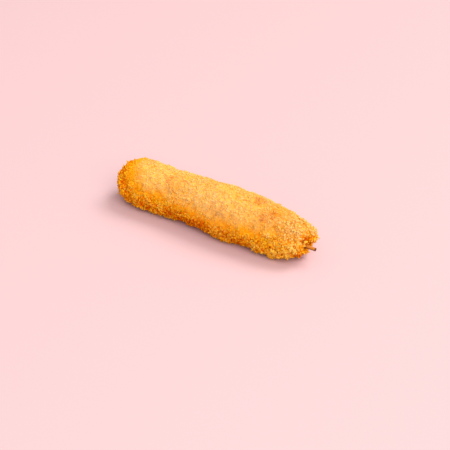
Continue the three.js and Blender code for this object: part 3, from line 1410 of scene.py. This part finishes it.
    def _bent_tubes(self, random: np.random.Generator, length: Array) -> Array:
        """The broken tubes at their sizes, bent.

        Each bows upwards by the square of the place along it, and sways aside by a square and a
        sine of it.

        Args:
            random: The source of chance.
            length: Each crumb's length.

        Returns:
            Points in the crumbs' own frames, of shape (3, count, points in the net).
        """
        shapes = self._broken_tubes(random)
        along, across, up = shapes[..., 0], shapes[..., 1], shapes[..., 2]
        half = 0.5 * length[:, None]
        slim = random.uniform(*self.slimness, (self.count, 1))
        bow, wave = self.sway * random.normal(0.0, 1.0, (2, self.count, 1))
        swayed = bow * along**2 + self.wave_share * wave * np.sin(math.pi * along)
        bend = self.bend * random.uniform(*self.bend_share, (self.count, 1))
        y = half * (across * self.width * slim + swayed)
        z = up * half * self.thickness + bend * half * along**2
        return np.stack([along * half, y, z])

    def _values(
        self, random: np.random.Generator, ground: Ground, raised: Array, outward: Array
    ) -> dict[str, Array]:
        """Each point's tone, frying and browning, with painted light and shade in them.

        A crumb's tone is a chance one, nearer the middle where crumbs are fine, and follows the
        bed below it, darker in the creases and down the flanks as painted shade. It grows paler
        outwards, a painted highlight on the tips. The root is more deeply fried, and darker near
        the skewer, which is painted shade between the crumbs, and the top of the body is less
        fried, which is painted light.

        Args:
            random: The source of chance.
            ground: The crumbs' places.
            raised: How raised the bed is there.
            outward: How far each point stands off the smooth form.

        Returns:
            The named values for the material.
        """
        toasted = random.uniform(0, 1, self.count) < self.toasted_share
        tone = random.uniform(*self.tone, self.count) - self.middle_tone
        tone = self.middle_tone + tone * self.tone_spread.at(ground)
        # Painted shade in the bed's creases, down the flanks and where the crust turns under;
        # painted light on its domes.
        tone = tone + self.raised_tone * (raised - self.crust.raised_mean)
        tone = tone - (self.flank_tone * ground.flank + self.crust.painted_shade_and_light(ground))
        # Painted highlight: paler towards the tips, darker towards the roots.
        tip = self.contrast.at(ground)[:, None] * np.clip(outward, *self.outward_range)
        root = np.clip(self.root_height - outward, *self.root_range)
        tone = tone[:, None] + tip - self.root_tone * ground.skewer_end[:, None] * root
        # Painted light on the top of the body, and painted shade at the roots.
        fried_and_shade = self.crust.fried_and_shade(ground) - self.top_painted_light * (1.0 - ground.flank)
        fried_and_shade = fried_and_shade[:, None] + self.root_shade.at(ground)[:, None] * root
        browning = self.crust.browning(ground) + self.toasted_brown * toasted
        browning = np.broadcast_to(browning[:, None], tone.shape)
        return {"tone": tone, "fried_and_shade": fried_and_shade, "browning": browning}

    def build(self) -> bpy.types.Object:
        """Makes the crumbs as one mesh.

        Each crumb's own frame is turned to its axes and set on the bed, higher the thicker it is
        and the more it leans, and a little sunk where crumbs are fine. No point is left inside the
        skewer or the floor.

        Returns:
            The piece.
        """
        random = np.random.default_rng(self.seed)
        ground = self._spread(random)
        height, raised = self.crust.relief(ground)
        length, lean, axes = self._stance(random, ground)
        bent = self._bent_tubes(random, length)
        points = sum(part[..., None] * axis[:, None] for part, axis in zip(bent, axes, strict=True))
        rise = self.seat * self.thickness + self.tip_lift * np.sin(lean)
        lift = height + 0.5 * length * rise - self.sink * (1.0 - ground.coarse)
        points += (ground.points + ground.normal * lift[:, None])[:, None]
        outward = np.einsum("nvk,nk->nv", points - ground.points[:, None], ground.normal)
        values = self._values(random, ground, raised, outward)
        form = self.crust.form
        points = form.pressed(self.skewer.keep_clear(points, form))
        return make_piece(self.kind.value, points, self.net, values, smooth=not self.faceted)

    def dress(self, piece: bpy.types.Object) -> None:
        """Gives the crumbs their finish and their body, and hides the plain crust."""
        name = f"fried_{self.kind.name.lower()}"
        dress_crust(piece, self.finish.material(name, pore=0.6, pore_depth=0.7))


def crumb_covers(crust: Crust) -> list[CrumbCover]:
    """The five kinds of crumb, with their numbers and sizes.

    Args:
        crust: The crust that they make.

    Returns:
        One cover for each kind.
    """
    return [
        CrumbCover(
            crust, Kind.FLAKE, count=5400, net=Tube(3, 6), length=(1.6, 3.4), width=0.62,
            thickness=0.42, fullness=3.6, bend=0.2, sway=0.06, lean=(-8, 30), dent=0.6,
            tone=(0.4, 0.75), flank_tone=0.15, seed=11,
        ),
        CrumbCover(
            crust, Kind.SLIVER, count=3900, net=Tube(5, 5), length=(1.9, 4.2), width=0.36,
            thickness=0.3, fullness=4.0, bend=0.3, sway=0.2, lean=(-6, 36), dent=0.6,
            tone=(0.5, 0.95), flank_tone=-0.1, seed=12,
        ),
        CrumbCover(
            crust, Kind.NUGGET, count=5400, net=Tube(3, 6), length=(1.1, 2.7), width=0.84,
            thickness=0.74, fullness=3.0, bend=0.1, sway=0.05, lean=(-20, 40), dent=0.55,
            tone=(0.35, 0.75), flank_tone=0.3, seed=13,
        ),
        CrumbCover(
            crust, Kind.CURL, count=3000, net=Tube(6, 5), length=(2.2, 4.8), width=0.24,
            thickness=0.21, fullness=3.4, bend=0.5, sway=0.4, lean=(4, 42), dent=0.6,
            tone=(0.55, 1.0), flank_tone=-0.12, seed=14,
        ),
        CrumbCover(
            crust, Kind.GRAIN, count=12400, net=Tube(2, 4), length=(0.6, 1.7), width=0.85,
            thickness=0.75, fullness=2.4, bend=0.0, sway=0.0, lean=(-40, 40), dent=0.42,
            tone=(0.3, 0.85), flank_tone=0.4, seed=15, faceted=True,
        ),
    ]


# ------------------------------------------------------------------ studio


@dataclass(frozen=True)
class Lamp:
    """A square soft lamp above the body, moved to the camera's right and behind the body."""

    name: str
    right: float
    behind: float
    size: float
    watts: float
    colour: Colour
    distance: float = 4000.0

    def add(self, right: Vector, behind: Vector) -> None:
        """Hangs the lamp so that it faces the body.

        Args:
            right: The camera's right.
            behind: The level direction from the camera to what is behind the body.
        """
        data = bpy.data.lights.new(self.name, "AREA")
        data.shape = "SQUARE"
        data.size = self.size * MM
        data.energy = self.watts
        data.color = self.colour
        lamp = bpy.data.objects.new(self.name, data)
        away = right * self.right + behind * self.behind + Vector((0.0, 0.0, 1.0))
        away.normalize()
        lamp.location = away * self.distance * MM
        lamp.rotation_euler = away.to_track_quat("Z", "Y").to_euler()
        bpy.context.scene.collection.objects.link(lamp)


@dataclass(frozen=True)
class Studio:
    """The floor, the lights and the camera."""

    axis_height: float
    azimuth: float = 33.466
    elevation: float = 34.0
    distance: float = 1068.0
    lens: float = 112.0
    sensor: float = 36.0
    frame_width: float = 450.0
    centre_u: float = 212.84
    centre_v: float = 205.96
    clip_end: float = 100000.0
    floor: PaleFloor = PaleFloor()
    floor_size: float = 6000.0
    floor_drop: float = 0.02
    world_colour: Colour = srgb(255, 246, 240)
    world_strength: float = 0.56
    lamps: tuple[Lamp, ...] = (
        Lamp("key", 0.6, 0.2, 2200.0, 115.0, (1.0, 0.97, 0.93)),
        Lamp("fill", 0.3, -0.9, 3000.0, 138.0, (1.0, 0.98, 0.95)),
    )

    def _camera_axes(self) -> tuple[Vector, Vector, Vector]:
        """The camera's directions, from its turn round the body and its rise above the floor.

        Returns:
            Right, up and backward.
        """
        turn, rise = math.radians(self.azimuth), math.radians(self.elevation)
        level = math.cos(rise)
        back = Vector((math.sin(turn) * level, -math.cos(turn) * level, math.sin(rise)))
        right = Vector((math.cos(turn), math.sin(turn), 0.0))
        return right, back.cross(right), back

    def _add_camera(self) -> None:
        """Places the camera so that the body's middle falls on its place in the frame."""
        right, up, back = self._camera_axes()
        pixels = self.lens / self.sensor * self.frame_width
        across = (self.frame_width / 2 - self.centre_u) / pixels * self.distance
        down = (self.centre_v - self.frame_width / 2) / pixels * self.distance
        place = Vector((0, 0, self.axis_height)) + back * self.distance + right * across + up * down
        data = bpy.data.cameras.new("camera")
        data.lens = self.lens
        data.sensor_width = self.sensor
        data.clip_end = self.clip_end * MM
        camera = bpy.data.objects.new("camera", data)
        axes = Matrix((right, up, back)).transposed().to_4x4()
        camera.matrix_world = Matrix.Translation(place * MM) @ axes
        bpy.context.scene.collection.objects.link(camera)
        bpy.context.scene.camera = camera

    def _add_floor(self) -> None:
        """Lays the floor just under the body."""
        half, low = self.floor_size / 2 * MM, -self.floor_drop * MM
        mesh = bpy.data.meshes.new("floor")
        corners = [(-half, -half, low), (half, -half, low), (half, half, low), (-half, half, low)]
        mesh.from_pydata(corners, [], [(0, 1, 2, 3)])
        mesh.materials.append(self.floor.material("pale_floor"))
        floor = bpy.data.objects.new("floor", mesh)
        bpy.context.scene.collection.objects.link(floor)

    def _add_world(self) -> None:
        """Fills the space round the object with an even pale light."""
        world = bpy.data.worlds.new("world")
        world.use_nodes = True
        background = world.node_tree.nodes["Background"]
        background.inputs["Color"].default_value = (*self.world_colour, 1.0)
        background.inputs["Strength"].default_value = self.world_strength
        bpy.context.scene.world = world

    def build(self) -> None:
        """Sets the whole studio."""
        self._add_floor()
        self._add_world()
        right, _, back = self._camera_axes()
        behind = Vector((-back.x, -back.y, 0.0)).normalized()
        for lamp in self.lamps:
            lamp.add(right, behind)
        self._add_camera()
        bpy.context.scene.view_settings.view_transform = "Standard"


def write_sizes() -> None:
    """Brings the view layer up to date.
    """
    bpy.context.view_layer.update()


def main() -> None:
    """Builds and dresses every piece, then the studio."""
    logging.basicConfig(level=logging.INFO, format="%(name)s: %(message)s", force=True)
    form = BodyForm()
    crust = Crust(form)
    for maker in (CrumbBed(crust), *crumb_covers(crust), Skewer()):
        piece = maker.build()
        maker.dress(piece)
        triangles = len(piece.data.loops) - 2 * len(piece.data.polygons)
        log.info("%s: %d triangles", piece.name, triangles)
    Studio(form.axis_height).build()
    write_sizes()


if __name__ == "__main__":
    main()
